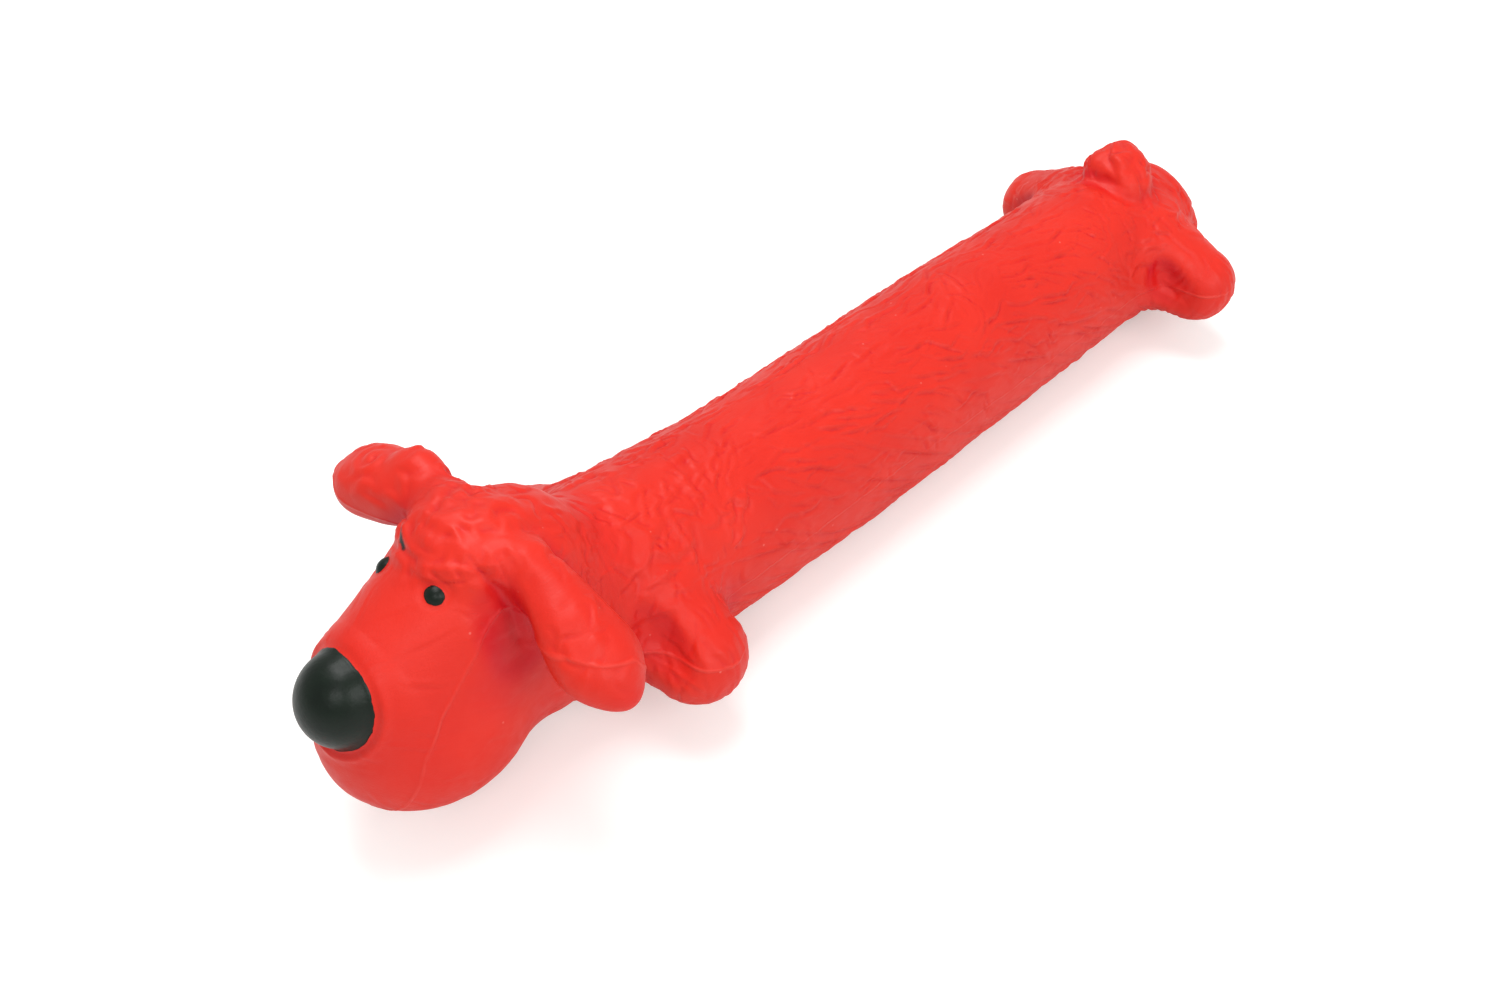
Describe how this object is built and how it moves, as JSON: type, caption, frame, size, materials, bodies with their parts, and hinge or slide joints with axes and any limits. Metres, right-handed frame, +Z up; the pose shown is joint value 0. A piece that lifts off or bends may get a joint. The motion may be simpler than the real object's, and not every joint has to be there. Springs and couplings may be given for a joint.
{
  "type": "long-bodied latex squeaky dog toy",
  "caption": "Soft latex squeaky toy cast as a long-bodied dog, with floppy ears, stub legs, painted nose and eyes, fibre filling and a squeaker in the belly.",
  "frame": {"origin": "centre of the overall bounding box, at the floor the toy lies on", "axes": "+Z up, +Y from nose to tail, +X towards the dog's left side"},
  "size_m": [0.0901, 0.2952, 0.0703],
  "materials": {
    "red_latex": "satin cast latex, dyed right through",
    "black_paint": "semi-gloss flexible paint",
    "fibre_fill": "loose polyester fibre",
    "squeaker_plastic": "moulded, unpainted",
    "squeaker_reed": "thin film strip"
  },
  "bodies": {
    "body": {"skin_body": "red_latex", "fill_body": "fibre_fill", "squeaker_cup": "squeaker_plastic", "squeaker_reed_seat": "squeaker_plastic", "squeaker_cap": "squeaker_plastic"},
    "back_panel": {"skin_back_panel": "red_latex"},
    "chest": {"skin_chest": "red_latex", "fill_chest": "fibre_fill"},
    "head": {"skin_head": "red_latex", "fill_head": "fibre_fill", "nose_paint": "black_paint", "eye_paint_left": "black_paint", "eye_paint_right": "black_paint"},
    "ear_left": {"ear_left": "red_latex"},
    "ear_right": {"ear_right": "red_latex"},
    "foreleg_left": {"foreleg_left": "red_latex"},
    "foreleg_right": {"foreleg_right": "red_latex"},
    "rump": {"skin_rump": "red_latex", "fill_rump": "fibre_fill"},
    "hind_leg_left": {"hind_leg_left": "red_latex"},
    "hind_leg_right": {"hind_leg_right": "red_latex"},
    "tail": {"tail": "red_latex"},
    "reed": {"squeaker_reed": "squeaker_reed"}
  },
  "joints": [
    {"name": "spine_front_bend", "type": "hinge", "parent": "body", "child": "chest", "pos_m": [0, -0.045, 0.024], "axis": [0, 0, 1], "range_deg": [-16, 16], "stiffness_Nm_per_rad": 4},
    {"name": "neck_nod", "type": "hinge", "parent": "chest", "child": "head", "pos_m": [0, -0.084, 0.026], "axis": [1, 0, 0], "range_deg": [-12, 5], "stiffness_Nm_per_rad": 3},
    {"name": "ear_left_flap", "type": "hinge", "parent": "head", "child": "ear_left", "pos_m": [0.0158, -0.101, 0.0615], "axis": [0, 1, 0], "range_deg": [-25, 9], "stiffness_Nm_per_rad": 0.12},
    {"name": "ear_right_flap", "type": "hinge", "parent": "head", "child": "ear_right", "pos_m": [-0.0158, -0.101, 0.0615], "axis": [0, 1, 0], "range_deg": [-9, 25], "stiffness_Nm_per_rad": 0.12},
    {"name": "foreleg_left_flex", "type": "hinge", "parent": "chest", "child": "foreleg_left", "pos_m": [0.0216, -0.067, 0.0215], "axis": [0, 1, 0], "range_deg": [-15, 8], "stiffness_Nm_per_rad": 0.5},
    {"name": "foreleg_right_flex", "type": "hinge", "parent": "chest", "child": "foreleg_right", "pos_m": [-0.0216, -0.067, 0.0215], "axis": [0, 1, 0], "range_deg": [-8, 15], "stiffness_Nm_per_rad": 0.5},
    {"name": "spine_rear_bend", "type": "hinge", "parent": "body", "child": "rump", "pos_m": [0, 0.071, 0.0225], "axis": [0, 0, 1], "range_deg": [-16, 16], "stiffness_Nm_per_rad": 4},
    {"name": "hind_leg_left_flex", "type": "hinge", "parent": "rump", "child": "hind_leg_left", "pos_m": [0.019, 0.123, 0.0205], "axis": [0, 1, 0], "range_deg": [-15, 8], "stiffness_Nm_per_rad": 0.5},
    {"name": "hind_leg_right_flex", "type": "hinge", "parent": "rump", "child": "hind_leg_right", "pos_m": [-0.019, 0.123, 0.0205], "axis": [0, 1, 0], "range_deg": [-8, 15], "stiffness_Nm_per_rad": 0.5},
    {"name": "tail_flex", "type": "hinge", "parent": "rump", "child": "tail", "pos_m": [0, 0.1225, 0.0432], "axis": [1, 0, 0], "range_deg": [-12, 12], "stiffness_Nm_per_rad": 0.15},
    {"name": "back_squeeze", "type": "slide", "parent": "body", "child": "back_panel", "axis": [0, 0, -1], "range_m": [0, 0.01], "stiffness_N_per_m": 900, "deforming": ["fill_body"]},
    {"name": "reed_buzz", "type": "hinge", "parent": "body", "child": "reed", "pos_m": [0, -0.0216, 0.0089], "axis": [1, 0, 0], "range_deg": [-3, 1], "stiffness_Nm_per_rad": 0.02}
  ]
}
